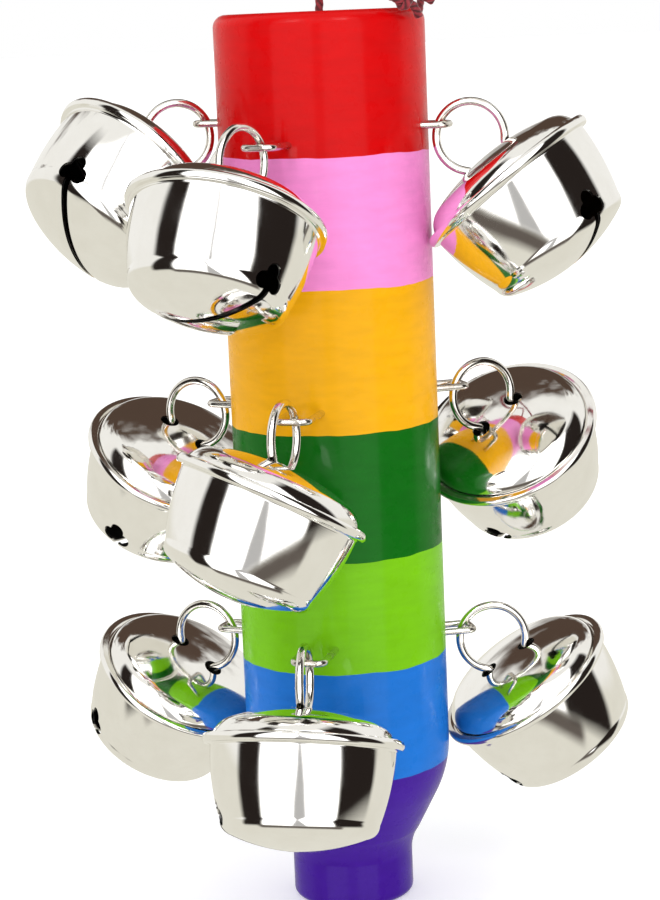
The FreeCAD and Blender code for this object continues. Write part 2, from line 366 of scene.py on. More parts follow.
def bow(start, middle, end, count):
    """Samples (point, direction) of the arc through three flat points."""
    (ax, ay), (bx, by), (cx, cy) = start, middle, end
    a2, b2, c2 = ax * ax + ay * ay, bx * bx + by * by, cx * cx + cy * cy
    d = 2 * (ax * (by - cy) + bx * (cy - ay) + cx * (ay - by))
    ux = (a2 * (by - cy) + b2 * (cy - ay) + c2 * (ay - by)) / d
    uy = (a2 * (cx - bx) + b2 * (ax - cx) + c2 * (bx - ax)) / d
    size = math.hypot(ax - ux, ay - uy)
    first = math.atan2(ay - uy, ax - ux)
    way = 1 if (bx - ax) * (cy - ay) - (by - ay) * (cx - ax) > 0 else -1
    sweep = (way * (math.atan2(cy - uy, cx - ux) - first)) % (2 * math.pi)
    samples = []
    for i in range(count + 1):
        angle = first + way * sweep * i / count
        point = (ux + size * math.cos(angle), uy + size * math.sin(angle))
        samples.append((point, (-way * math.sin(angle), way * math.cos(angle))))
    return samples


def quarter(start, corner, end, count):
    """Samples of the quarter circle that rounds a corner off."""
    centre = (start[0] + end[0] - corner[0], start[1] + end[1] - corner[1])
    middle = tuple(c + (k - c) * math.sqrt(0.5) for c, k in zip(centre, corner))
    return bow(start, middle, end, count)


def straight(start, end, count=1):
    """Samples (point, direction) of a straight line."""
    dx, dy = end[0] - start[0], end[1] - start[1]
    size = math.hypot(dx, dy)
    head = (dx / size, dy / size)
    return [((start[0] + dx * i / count, start[1] + dy * i / count), head)
            for i in range(count + 1)]


# A radius in mm below which a ring is a single point
NO_RADIUS = 1e-9


class Skin:
    """Vertices and faces with a normal at each face corner, in mm."""

    def __init__(self):
        self.verts, self.faces, self.normals, self.inner = [], [], [], []

    def vertex(self, point, inner=0.0):
        self.verts.append(Vector(point))
        self.inner.append(inner)
        return len(self.verts) - 1

    def face(self, corners, normals=None):
        if normals is None:
            a, b, c = (self.verts[i] for i in corners[:3])
            flat = (b - a).cross(c - a).normalized()
            normals = [flat] * len(corners)
        self.faces.append(tuple(corners))
        self.normals.extend(normals)

    def turned(self, segments, around, first=None, last=None, inner=0.0):
        """Turns the segments of an outline about Z, and returns both end rings.

        first and last are rings that are there already.
        """
        ring = first
        for number, segment in enumerate(segments):
            for i in range(len(segment)):
                (r, z), (dr, dz) = segment[i]
                if i == 0 and ring is None:
                    ring = self.ring(r, z, around, inner)
                elif i > 0:
                    ends = number == len(segments) - 1 and i == len(segment) - 1
                    after = last if ends and last is not None else self.ring(r, z, around, inner)
                    (_, (er, ez)) = segment[i - 1]
                    self.band(ring, after, around, (ez, -er), (dz, -dr))
                    ring = after
                if first is None and number == 0 and i == 0:
                    first = ring
        return first, ring

    def ring(self, r, z, around, inner):
        if r < NO_RADIUS:
            return [self.vertex((0, 0, z), inner)]
        turns = (2 * math.pi * k / around for k in range(around))
        return [self.vertex((r * math.cos(a), r * math.sin(a), z), inner) for a in turns]

    def band(self, low, high, around, low_normal, high_normal):
        """Faces between two rings, either of which may be a single point."""
        def leaning(normal, k):
            angle = 2 * math.pi * k / around
            return Vector((normal[0] * math.cos(angle), normal[0] * math.sin(angle), normal[1]))

        for k in range(around):
            nl, nl2 = leaning(low_normal, k), leaning(low_normal, k + 1)
            nh, nh2 = leaning(high_normal, k), leaning(high_normal, k + 1)
            k2 = (k + 1) % around
            if len(low) == 1:
                self.face((low[0], high[k2], high[k]), (nl, nh2, nh))
            elif len(high) == 1:
                self.face((low[k], low[k2], high[0]), (nl, nl2, nh))
            else:
                self.face((low[k], low[k2], high[k2], high[k]), (nl, nl2, nh2, nh))

    def mesh(self, name, matrix):
        mesh = bpy.data.meshes.new(name)
        mesh.from_pydata([matrix @ (v * MM) for v in self.verts], [], self.faces)
        mesh.shade_smooth()
        turn = matrix.to_3x3()
        mesh.normals_split_custom_set([(turn @ n).normalized() for n in self.normals])
        local = mesh.attributes.new("shell", "FLOAT_VECTOR", "POINT")
        local.data.foreach_set("vector", [c for v in self.verts for c in v])
        mesh.attributes.new("inside", "FLOAT", "POINT").data.foreach_set("value", self.inner)
        return mesh


# ---------------------------------------------------------------- stick

STICK_RADIUS = 15.0
STICK_AROUND = 160
# The stick's outline in mm, where a pair is a point (radius, height)
FOOT_RADIUS, FOOT_ROUND, FOOT_TOP = 8.9, 0.9, 6.4
FLARE = [(9.25, 8.2), (10.2, 10.0)]
CONE_TOP = (12.9, 15.2)
SHOULDER = [(14.4, 18.9), (STICK_RADIUS, 23.0)]
TOP_ROUND = 1.8
CORD_HOLE_RADIUS, CORD_HOLE_ROUND, CORD_HOLE_DEPTH = 1.5, 0.25, 8.0


def stick_skin():
    top, r = STICK_LENGTH, STICK_RADIUS
    foot, hole = FOOT_RADIUS, CORD_HOLE_RADIUS
    bottom = top - CORD_HOLE_DEPTH
    foot_flat, foot_edge, foot_top = (foot - FOOT_ROUND, 0.0), (foot, FOOT_ROUND), (foot, FOOT_TOP)
    side_top, top_edge = (r, top - TOP_ROUND), (r - TOP_ROUND, top)
    mouth, mouth_low = (hole + CORD_HOLE_ROUND, top), (hole, top - CORD_HOLE_ROUND)
    skin = Skin()
    skin.turned([
        straight((0.0, 0.0), foot_flat, 3),
        quarter(foot_flat, (foot, 0.0), foot_edge, 6),
        straight(foot_edge, foot_top, 2),
        bow(foot_top, *FLARE, 8),
        straight(FLARE[1], CONE_TOP, 3),
        bow(CONE_TOP, *SHOULDER, 10),
        straight(SHOULDER[1], side_top, 26),
        quarter(side_top, (r, top), top_edge, 10),
        straight(top_edge, mouth, 6),
        quarter(mouth, (hole, top), mouth_low, 4),
        straight(mouth_low, (hole, bottom), 4),
        straight((hole, bottom), (0.0, bottom)),
    ], STICK_AROUND)
    return skin


stick_mesh = stick_skin().mesh("stick_paint", Matrix.Identity(4))
add_piece(stick_mesh, PAINT, "root", "stick")

# ---------------------------------------------------------------- bell frames

# Turn of each bell's sound slot about its axis, in degrees
SLOT_TURNS = {
    "upper_front": 82.0,
    "upper_right": 318.0,
    "upper_back": 30.0,
    "upper_left": 40.0,
    "middle_front": 112.0,
    "middle_right": 200.0,
    "middle_left": 94.0,
    "lower_front": 286.0,
    "lower_right": 20.0,
    "lower_left": 58.0,
}
# How far the seam of cap and cup lies below the clinched feet that the shell rocks on, in mm
SEAM_BELOW_PIVOT = 3.585
JOINTS = {joint["name"]: joint for joint in frame["joints"]}


def axes(origin, x, z):
    """Frame whose X and Z run along the given directions."""
    turn = Matrix((x, z.cross(x), z)).transposed()
    return Matrix.Translation(origin) @ turn.to_4x4()


def bell_frames(name):
    """Frames of a bell's wire ring and of its shell, from its joints."""
    ring = Vector(JOINTS[name + "_swing"]["pos_m"])
    pivot = Vector(JOINTS[name + "_rock"]["pos_m"])
    across = Vector(JOINTS[name + "_rock"]["axis"]).normalized()
    shell_up = Vector(JOINTS[name + "_rattle"]["axis"]).normalized()
    loop_up = (ring - pivot).normalized()
    seam = pivot - shell_up * (SEAM_BELOW_PIVOT * MM)
    return axes(ring, across, loop_up), axes(seam, across, shell_up)


# ---------------------------------------------------------------- shells

# All in mm, where a pair is a point (radius, height), with heights from the seam. The
# cap's rim lies from RIM_LOW to RIM_HIGH.
SHEET = 0.4
AROUND = 96
RIM_LOW, RIM_HIGH = 0.5, 0.9
CAP_RIM = 13.45

# Gap on the unrolled face between one segment's end and the next one's start
SEGMENT_GAP = 1e-5
# Distance kept between a filling point and a cut
FILL_CLEARANCE = 0.14
# Spacing round a filling ring, as a share of the spacing round the outer ring
FILL_SPACING = 0.75
# Flat points closer than this are taken as one
WELD = 1e-7


def crown(top, edge, inset, radius, count):
    """Samples of a ball-shaped crown from its middle out to a radius.

    The ball runs through top and edge, and its surface is moved inward by inset.
    """
    rise = top - edge[1]
    ball = (edge[0] ** 2 + rise ** 2) / (2 * rise)
    size = abs(ball) - inset
    centre = top - ball
    way = 1 if rise > 0 else -1
    reach = math.asin(radius / size)
    samples = []
    for i in range(count + 1):
        angle = reach * i / count
        point = (size * math.sin(angle), centre + way * size * math.cos(angle))
        samples.append((point, (math.cos(angle), -way * math.sin(angle))))
    return samples


def reverse(samples):
    """The same line run the other way."""
    return [(point, (-d[0], -d[1])) for point, d in reversed(samples)]


class Floor:
    """The middle of a spun face, unrolled to a flat disc and cut by outlines."""

    def __init__(self, segments):
        rows, along, last = [], 0.0, None
        self.rings = []
        for segment in segments:
            for i, ((r, z), (dr, dz)) in enumerate(segment):
                if last is not None:
                    along += math.hypot(r - last[0], z - last[1])
                last = (r, z)
                if i == 0 and rows:
                    along += SEGMENT_GAP
                rows.append((along, r, z, dz, -dr))
                if i or not self.rings:
                    self.rings.append(along)
        self.table = np.array(rows).T

    def at(self, along):
        """Distance from the axis, height, and the normal's two parts."""
        return [float(np.interp(along, self.table[0], row)) for row in self.table[1:]]

    def along_of_radius(self, r):
        return float(np.interp(r, self.table[1], self.table[0]))

    def along_of_height(self, z):
        """For a face that rises all the way out."""
        return float(np.interp(z, self.table[2], self.table[0]))

    def place(self, flat):
        """The point and the normal in space of a point on the flat disc."""
        along = math.hypot(*flat)
        r, z, nr, nz = self.at(along)
        if along < NO_RADIUS:
            return (0.0, 0.0, z), Vector((0.0, 0.0, nz))
        c, s = flat[0] / along, flat[1] / along
        return (r * c, r * s, z), Vector((nr * c, nr * s, nz))

    def fill(self, skin, outlines, around, facing_up, inner):
        """Meshes the disc but for the outlines.

        Returns its outer ring and each outline's vertices.
        """
        edge = self.rings[-1]
        points = flat_ring(edge, around, 0.0)
        lines = [(k, (k + 1) % around) for k in range(around)]
        loops = []
        for outline in outlines:
            base = len(points)
            points.extend(outline)
            loops.append(list(range(base, len(points))))
            lines.extend((base + i, base + (i + 1) % len(outline)) for i in range(len(outline)))
        cuts = np.array([p for outline in outlines for p in outline])
        for along in self.rings[:-1]:
            if along < NO_RADIUS:
                ring = [(0.0, 0.0)]
            else:
                count = max(8, min(around, int(around * along / (edge * FILL_SPACING))))
                ring = flat_ring(along, count, 0.5)
            for p in ring:
                clear = np.hypot(*(cuts - p).T).min() > FILL_CLEARANCE
                if clear and not any(within(p, outline) for outline in outlines):
                    points.append(p)
        made = delaunay_2d_cdt([Vector(p) for p in points], lines, [], 0, WELD)
        flat = [tuple(v) for v in made[0]]
        place_of = {}
        lean = -1.0 if facing_up else 1.0
        for new, olds in enumerate(made[3]):
            for old in olds:
                place_of[old] = new
        laid = [self.place(p) for p in flat]
        ids = [skin.vertex(point, inner) for point, _ in laid]
        for triangle in made[2]:
            centre = (sum(flat[i][0] for i in triangle) / 3, sum(flat[i][1] for i in triangle) / 3)
            if any(within(centre, outline) for outline in outlines):
                continue
            order = list(triangle) if facing_up else list(reversed(triangle))
            skin.face([ids[i] for i in order], [laid[i][1] * lean for i in order])
        ring = [ids[place_of[k]] for k in range(around)]
        return ring, [[ids[place_of[i]] for i in loop] for loop in loops]


def flat_ring(radius, count, shift):
    """Evenly spaced points on a flat circle, turned by shift of a step."""
    turns = (2 * math.pi * (k + shift) / count for k in range(count))
    return [(radius * math.cos(a), radius * math.sin(a)) for a in turns]


def within(point, outline):
    """Whether a flat point lies inside a closed outline."""
    x, y = point
    hit = False
    for i in range(len(outline)):
        (ax, ay), (bx, by) = outline[i - 1], outline[i]
        if (ay > y) != (by > y) and x < (bx - ax) * (y - ay) / (by - ay) + ax:
            hit = not hit
    return hit


def wall(skin, outer, inner):
    """Joins a hole's edge in the outer face to its edge in the inner one."""
    for i in range(len(outer)):
        k = i - 1
        skin.face((outer[k], outer[i], inner[i], inner[k]))


# Cap

CAP_TOP = 5.4
CAP_SHOULDER = (10.3, 3.7)
CAP_BEND, CAP_INNER_BEND = (12.0, 2.5), (11.65, 2.2)
CAP_SKIRT = (12.7, RIM_HIGH)
# Radius of the inner face's crown
CAP_INNER_CROWN = 10.1
LEG_HOLE_OFFSET, LEG_HOLE_RADIUS, LEG_HOLE_SIDES = 3.4, 1.4, 24


def cap_skin():
    """A domed cap with two leg holes and a flat rim."""
    skin = Skin()
    inner_skirt = (CAP_SKIRT[0] - SHEET, RIM_LOW)
    inner_crown = crown(CAP_TOP, CAP_SHOULDER, SHEET, CAP_INNER_CROWN, 26)
    outer = Floor([crown(CAP_TOP, CAP_SHOULDER, 0.0, CAP_SHOULDER[0], 26)])
    inner = Floor([inner_crown])
    rims = []
    for floor, up in ((outer, True), (inner, False)):
        outlines = []
        for side in (-1, 1):
            outline = []
            for x, y in flat_ring(LEG_HOLE_RADIUS, LEG_HOLE_SIDES, 0.0):
                x += side * LEG_HOLE_OFFSET
                r = math.hypot(x, y)
                along = floor.along_of_radius(r)
                outline.append((x * along / r, y * along / r))
            outlines.append(outline)
        rims.append(floor.fill(skin, outlines, AROUND, up, 0.0 if up else 1.0))
    (outer_ring, outer_holes), (inner_ring, inner_holes) = rims
    for a, b in zip(outer_holes, inner_holes):
        wall(skin, a, b)
    inside = [
        bow(inner_crown[-1][0], CAP_INNER_BEND, inner_skirt, 6),
        straight(inner_skirt, (CAP_RIM, RIM_LOW)),
    ]
    outside = [
        straight((CAP_RIM, RIM_LOW), (CAP_RIM, RIM_HIGH)),
        straight((CAP_RIM, RIM_HIGH), CAP_SKIRT, 2),
        bow(CAP_SKIRT, CAP_BEND, CAP_SHOULDER, 10),
    ]
    _, rim = skin.turned(inside, AROUND, inner_ring, None, 1.0)
    skin.turned(outside, AROUND, rim, outer_ring)
    return skin


# Cup

CUP_DEPTH = 14.2
CREASE = (9.6, -12.2)
CREASE_BEND, INNER_CREASE_BEND = (10.6, -11.4), (10.2, -11.15)
# Radius of the inner face's crown
CUP_INNER_CROWN = 9.35
WAIST = (11.0, -10.2)
WALL_MIDDLE = (12.35, -5.0)
MOUTH = (12.9, -0.4)
MOUTH_BEND, LEDGE = (13.0, -0.1), (13.3, 0.0)
HEM_FOLD, HEM_EDGE = 13.7, (14.0, 0.65)
HEM_LIP, HEM_TOP = 13.0, 1.3
WALL_STEPS = 24
# How many of the wall's samples belong to the face that the slot is cut from
CUT_SAMPLES = 9
SLOT_HALF = 0.55
SLOT_STEPS = 22
# Centres of a slot end's lobes: the depth below the seam that they are set out from,
# how far the side lobes stand off, and how far the side and top lobes rise
LOBE_DEPTH, LOBE_RADIUS, LOBE_SIDE = 10.3, 1.15, 1.1
SIDE_LOBE_RISE, TOP_LOBE_RISE = 0.3, 1.7
SIDE_LOBE_STEPS, TOP_LOBE_STEPS = 16, 14


def trefoil():
    """Outline (sideways, height) of a slot's three-lobed end.

    It runs from the right foot over the top to the left foot.
    """
    side = (LOBE_SIDE, SIDE_LOBE_RISE - LOBE_DEPTH)
    top = (0.0, TOP_LOBE_RISE - LOBE_DEPTH)
    drop = math.sqrt(LOBE_RADIUS ** 2 - (side[0] - SLOT_HALF) ** 2)
    first = math.atan2(-drop, SLOT_HALF - side[0])
    gap = math.hypot(side[0] - top[0], side[1] - top[1])
    reach = math.sqrt(LOBE_RADIUS ** 2 - gap ** 2 / 4)
    lean = ((top[1] - side[1]) / gap, (side[0] - top[0]) / gap)
    meet = ((side[0] + top[0]) / 2 + lean[0] * reach, (side[1] + top[1]) / 2 + lean[1] * reach)
    last = math.atan2(meet[1] - side[1], meet[0] - side[0])
    crossing = math.atan2(meet[1] - top[1], meet[0] - top[0])
    right = [first + (last - first) * i / SIDE_LOBE_STEPS for i in range(SIDE_LOBE_STEPS)]
    over = [crossing + (math.pi - 2 * crossing) * i / TOP_LOBE_STEPS
            for i in range(TOP_LOBE_STEPS // 2 + 1)]
    half = [(middle[0] + LOBE_RADIUS * math.cos(a), middle[1] + LOBE_RADIUS * math.sin(a))
            for middle, angles in ((side, right), (top, over)) for a in angles]
    return half + [(-y, z) for y, z in reversed(half[:-1])]


def slot_outline(floor):
    """The slot and its two ends on an unrolled floor, as flat points."""
    ends = trefoil()
    junction = floor.along_of_height(ends[0][1])
    middle = floor.along_of_radius(SLOT_HALF)
    outline = []
    for side in (1, -1):
        for y, z in ends:
            along = floor.along_of_height(z)
            r = floor.at(along)[0]
            angle = math.asin(y / r)
            outline.append((side * along * math.cos(angle), side * along * math.sin(angle)))
        for k in range(1, 2 * SLOT_STEPS):
            share = k / SLOT_STEPS
            along = junction + (middle - junction) * (share if share <= 1 else 2 - share)
            r = floor.at(along)[0]
            angle = math.asin(min(1.0, SLOT_HALF / r))
            way = side if share <= 1 else -side
            outline.append((way * along * math.cos(angle), -side * along * math.sin(angle)))
    return outline


def cup_skin():
    """A cup with a sound slot, hemmed over the cap's rim."""
    skin = Skin()
    inner_waist = (WAIST[0] - SHEET, WAIST[1])
    inner_mouth = (MOUTH[0] - SHEET, MOUTH[1])
    inner_middle = (WALL_MIDDLE[0] - SHEET, WALL_MIDDLE[1])
    outer_crown = crown(-CUP_DEPTH, CREASE, 0.0, CREASE[0], 24)
    outer_crease = bow(CREASE, CREASE_BEND, WAIST, 8)
    outer_wall = bow(WAIST, WALL_MIDDLE, MOUTH, WALL_STEPS)
    inner_crown = crown(-CUP_DEPTH, CREASE, SHEET, CUP_INNER_CROWN, 24)
    inner_crease = reverse(bow(inner_waist, INNER_CREASE_BEND, inner_crown[-1][0], 6))
    inner_wall = reverse(bow(inner_mouth, inner_middle, inner_waist, WALL_STEPS))
    outer = Floor([outer_crown, outer_crease, outer_wall[:CUT_SAMPLES]])
    inner = Floor([inner_crown, inner_crease, inner_wall[:CUT_SAMPLES]])
    ring, (hole,) = outer.fill(skin, [slot_outline(outer)], AROUND, False, 0.0)
    inner_ring, (inner_hole,) = inner.fill(skin, [slot_outline(inner)], AROUND, True, 1.0)
    wall(skin, hole, inner_hole)
    fold_low, fold_high = (HEM_FOLD, 0.0), (HEM_FOLD, HEM_TOP)
    outside = [
        outer_wall[CUT_SAMPLES - 1:],
        bow(MOUTH, MOUTH_BEND, LEDGE, 4),
        straight(LEDGE, fold_low),
        bow(fold_low, HEM_EDGE, fold_high, 12),
        straight(fold_high, (HEM_LIP, HEM_TOP), 2),
        straight((HEM_LIP, HEM_TOP), (HEM_LIP, RIM_HIGH)),
        straight((HEM_LIP, RIM_HIGH), (CAP_RIM, RIM_HIGH)),
        straight((CAP_RIM, RIM_HIGH), (CAP_RIM, RIM_LOW)),
        straight((CAP_RIM, RIM_LOW), (inner_mouth[0], RIM_LOW)),
    ]
    inside = [
        straight((inner_mouth[0], RIM_LOW), inner_mouth),
        reverse(inner_wall)[:-(CUT_SAMPLES - 1)],
    ]
    _, rim = skin.turned(outside, AROUND, ring)
    skin.turned(inside, AROUND, rim, inner_ring, 1.0)
    return skin


CAP = cap_skin()
CUP = cup_skin()

# ---------------------------------------------------------------- loops, staples and pellets

# All in mm
LOOP_RADIUS = 4.9
LOOP_WIRE_RADIUS = 0.6
LEG_HALF_GAP = 3.5
CLINCH_RADIUS = 1.1
CLINCH_MIDDLE = math.radians(203.0)
FOOT_REACH = 5.6
LOOP_SIDES = 20

STAPLE_RADIUS = 0.5
STAPLE_HALF_WIDTH = 2.2
STAPLE_BEND = 1.1
STAPLE_LEG = 11.0
STAPLE_GAP = 0.12
STAPLE_ANGLE = math.radians(30.0)
STAPLE_SIDES = 16

# A pellet's mean radius and its lumps' height, as shares of the CAD ball's radius.
# A lump's row is its fineness, its shift from one pellet to the next, and its height.
PELLET_SIZE = 0.985
LUMPS = [(1.6, 900.0, 0.015), (6.0, 500.0, 0.004)]


def joined(segments):
    """Points of samples in a row, each joint once."""
    points = [segments[0][0][0]]
    for segment in segments:
        points.extend(point for point, _ in segment[1:])
    return points


def loop_outline():
    """A wire loop's middle line, with its clinched feet pointing outward."""
    g, c = LEG_HALF_GAP, CLINCH_RADIUS
    h = -math.sqrt(LOOP_RADIUS ** 2 - g ** 2)
    x = g - h / LOOP_RADIUS * c
    z = h - g / LOOP_RADIUS * c
    low = z - c
    middle = (x + c * math.cos(CLINCH_MIDDLE), z + c * math.sin(CLINCH_MIDDLE))
    return joined([
        straight((-FOOT_REACH, low), (-x, low), 3),
        bow((-x, low), (-middle[0], middle[1]), (-g, h), 8),
        bow((-g, h), (0.0, LOOP_RADIUS), (g, h), 72),
        bow((g, h), middle, (x, low), 8),
        straight((x, low), (FOOT_REACH, low), 3),
    ])


def staple_outline():
    """A staple's middle line, with its legs pointing down."""
    w, b = STAPLE_HALF_WIDTH, STAPLE_BEND
    return joined([
        straight((-w, -STAPLE_LEG), (-w, -b), 6),
        quarter((-w, -b), (-w, 0.0), (-w + b, 0.0), 8),
        straight((-w + b, 0.0), (w - b, 0.0), 4),
        quarter((w - b, 0.0), (w, 0.0), (w, -b), 8),
        straight((w, -b), (w, -STAPLE_LEG), 6),
    ])


def staple_path(ring):
    """A staple's path in metres, from the frame of the wire ring that it holds."""
    up = Vector((0, 0, 1))
    across = ring.to_3x3().col[0]
    facing = Vector((across.x, across.y, 0)).normalized()
    centre = ring.translation
    out = centre - facing * (LOOP_RADIUS * MM)
    out.z = 0
    out.normalize()
    reach = (LOOP_RADIUS - LOOP_WIRE_RADIUS - STAPLE_RADIUS - STAPLE_GAP) * MM
    inward = facing * (reach * math.cos(STAPLE_ANGLE))
    bridge = centre - inward + up * (reach * math.sin(STAPLE_ANGLE))
    side = up.cross(out)
    return [bridge + side * (x * MM) + out * (z * MM) for x, z in staple_outline()]


def pellet_mesh(name, centre, radius):
    """A rolled steel ball, a little out of round."""
    ball = bmesh.new()
    bmesh.ops.create_icosphere(ball, subdivisions=4, radius=radius)
    for v in ball.verts:
        out = v.co.normalized()
        lump = sum(noise.noise(out * fineness + centre * shift) * height
                   for fineness, shift, height in LUMPS)
        v.co = centre + out * radius * (PELLET_SIZE + lump)
    mesh = bpy.data.meshes.new(name)
    ball.to_mesh(mesh)
    ball.free()
    mesh.shade_smooth()
    return mesh


staple_paths = []
for name, turn in SLOT_TURNS.items():
    ring, shell = bell_frames(name)
    turned = shell @ Matrix.Rotation(math.radians(turn), 4, "Z")
    cap_mesh = CAP.mesh(name + "_cap_plate", shell)
    cup_mesh = CUP.mesh(name + "_cup_plate", turned)
    add_piece(cap_mesh, NICKEL, name + "_bell", name + "_cap")
    add_piece(cup_mesh, NICKEL, name + "_bell", name + "_cup")
    loop_path = [ring @ (Vector((x, 0.0, z)) * MM) for x, z in loop_outline()]
    loop_mesh = tube_mesh(name + "_loop_wire", [loop_path], LOOP_WIRE_RADIUS * MM, LOOP_SIDES)
    add_piece(loop_mesh, LOOP_WIRE, name + "_loop", name + "_loop")
    low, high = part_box(name + "_pellet")
    ball_mesh = pellet_mesh(name + "_ball", (low + high) / 2, (high.x - low.x) / 2)
    add_piece(ball_mesh, STEEL, name + "_pellet", name + "_pellet")
    staple_paths.append(staple_path(ring))
staple_mesh = tube_mesh("staple_wires", staple_paths, STAPLE_RADIUS * MM, STAPLE_SIDES)
add_piece(staple_mesh, STAPLE_WIRE, "root", "staples")

# ---------------------------------------------------------------- cord

# All in metres
CORD_DIAMETER = 0.0012
# How far the three strands run in one full twist
CORD_LAY = 0.0034
CORD_SIDES, KNOT_SIDES = 24, 20
CORD_POINTS = [
    (0.0, 0.0, 0.1220),
    (0.0, 0.0, 0.1282),
    (0.0005, 0.0004, 0.1347),
    (0.0049, 0.0050, 0.1369),
    (0.0096, 0.0109, 0.1364),
    (0.0136, 0.0163, 0.1326),
    (0.0139, 0.0173, 0.1250),
    (0.0134, 0.0169, 0.1172),
    (0.0137, 0.0166, 0.1096),
    (0.0139, 0.0170, 0.1016),
    (0.0146, 0.0255, 0.1010),
    (0.0149, 0.0258, 0.1092),
    (0.0144, 0.0246, 0.1174),
    (0.0146, 0.0224, 0.1256),
    (0.0154, 0.0168, 0.1324),
    (0.0169, 0.0090, 0.1354),
    (0.0170, 0.0008, 0.1346),
    (0.0149, -0.0064, 0.1330),
    (0.0124, -0.0103, 0.1319),
]
KNOT_CENTRE = Vector((0.0115, -0.0115, 0.1314))
KNOT_SIZE = 0.00047
KNOT_DEPTH = 1.15
KNOT_STEPS = 96
# Turns of the knot about X and Z, in degrees
KNOT_LEAN = (60.0, 25.0)
KNOT_TAILS = [
    [(0.0120, -0.0109, 0.1309), (0.0133, -0.0096, 0.1306), (0.0139, -0.0086, 0.1286)],
    [(0.0126, -0.0108, 0.1317), (0.0146, -0.0096, 0.1316), (0.0158, -0.0082, 0.1307)],
]


def smooth_line(points):
    """Points read from the NURBS line of a route."""
    curve = bpy.data.curves.new("route", "CURVE")
    curve.dimensions = "3D"
    curve.resolution_u = 24
    spline = curve.splines.new("NURBS")
    spline.points.add(len(points) - 1)
    for control, point in zip(spline.points, points):
        control.co = (*point, 1.0)
    spline.order_u = 3
    spline.use_endpoint_u = True
    carrier = bpy.data.objects.new("route", curve)
    bpy.context.scene.collection.objects.link(carrier)
    bpy.context.view_layer.update()
    evaluated = carrier.evaluated_get(bpy.context.evaluated_depsgraph_get())
    line = bpy.data.meshes.new_from_object(evaluated)
    route = [v.co.copy() for v in line.vertices]
    bpy.data.meshes.remove(line)
    bpy.data.objects.remove(carrier)
    bpy.data.curves.remove(curve)
    return route


def strands(along, angle):
    """Depth of the grooves between three twisted strands."""
    turn = 3 * (angle + 2 * math.pi * along / CORD_LAY)
    return (0.5 + 0.5 * math.cos(turn)) ** 2


def knot_path():
    """An overhand knot pulled tight, as a closed run of its cord."""
    about_x, about_z = (math.radians(angle) for angle in KNOT_LEAN)
    lean = Matrix.Rotation(about_x, 3, "X") @ Matrix.Rotation(about_z, 3, "Z")
    points = []
    for i in range(KNOT_STEPS + 1):
        t = 2 * math.pi * i / KNOT_STEPS
        loop = Vector((math.sin(t) + 2 * math.sin(2 * t),
                       math.cos(t) - 2 * math.cos(2 * t),
                       -KNOT_DEPTH * math.sin(3 * t)))
        points.append(KNOT_CENTRE + lean @ loop * KNOT_SIZE)
    return points


cord_route = smooth_line(CORD_POINTS)
cord_mesh = tube_mesh("hanging_cord", [cord_route], CORD_DIAMETER / 2, CORD_SIDES, strands)
cord = add_piece(cord_mesh, YARN, "root", "cord")
knot_paths = [knot_path()] + [smooth_line(tail) for tail in KNOT_TAILS]
knot_mesh = tube_mesh("cord_end_knot", knot_paths, CORD_DIAMETER / 2, KNOT_SIDES, strands)
knot = add_piece(knot_mesh, YARN, "root", "cord_knot")

# ---------------------------------------------------------------- studio

# The floor reaches FLOOR_REACH metres each way, in FLOOR_COUNT steps
FLOOR_REACH, FLOOR_COUNT, FLOOR_DROP = 12.0, 24, 0.00005
SURROUND_CENTRE = Vector((0.0, 0.0, 0.07))
SURROUND_SIZE = 3.0
SURROUND_RINGS, SURROUND_AROUND = 24, 48

# What the surround shows
UPPER_WALL = [0.93, 0.92, 0.88, 1.0]
LOWER_WALL = [0.78, 0.76, 0.67, 1.0]
TABLE = [0.13, 0.11, 0.095, 1.0]
CLUTTER = [0.085, 0.055, 0.04, 1.0]
DARK = [0.02, 0.015, 0.013, 1.0]
WINDOW = [1.8, 1.8, 1.8, 1.0]
STAND = [0.10, 0.09, 0.08, 1.0]
# Where it shows them, in degrees: azimuths from the front, positive to the right, and
# heights above level
HORIZON = -2.0
TABLE_SPAN = (-60.0, 60.0), (-40.0, -24.0)
DARK_SPANS = [((-84.0, -53.0), (-26.0, 62.0)), ((47.0, 98.0), (-26.0, 62.0))]
WINDOW_SPAN = (-53.0, 47.0), (-23.0, 60.0)
STAND_AZIMUTH, STAND_HEIGHTS, STAND_EDGE = -3.0, (-24.0, 60.0), 1.2
# The stand's half width changes from the first to the second between these two heights
STAND_TAPER, STAND_HALF_WIDTHS = (-20.0, 18.0), (9.0, 1.3)
STAND_STRENGTH = 0.75
# Clutter lies round this direction, where the product with it passes from the first to
# the second of the edges, made uneven by noise
CLUTTER_WAY = (0.0, 0.75, 0.66)
CLUTTER_EDGES, CLUTTER_UNEVEN = (0.82, 0.90), 0.3

LIGHT_PLACES = {"left_window": (-0.45, -0.75, 0.75), "right_window": (0.40, -0.80, 0.80)}
LIGHT_WIDTH, LIGHT_HEIGHT, LIGHT_POWER = 0.25, 0.35, 1.8


def studio_mesh(name, verts, faces, material):
    mesh = bpy.data.meshes.new(name)
    mesh.from_pydata(verts, [], faces)
    mesh.materials.append(material)
    piece = bpy.data.objects.new(name, mesh)
    bpy.context.scene.collection.objects.link(piece)
    return piece


def studio_floor():
    count = FLOOR_COUNT
    steps = [FLOOR_REACH * (i / count - 0.5) * 2 for i in range(count + 1)]
    row = count + 1
    verts = [(x, y, -FLOOR_DROP) for y in steps for x in steps]
    faces = [(j * row + i, j * row + i + 1, (j + 1) * row + i + 1, (j + 1) * row + i)
             for j in range(count) for i in range(count)]
    floor = studio_mesh("studio_floor", verts, faces, floor_material())
    floor.visible_glossy = False


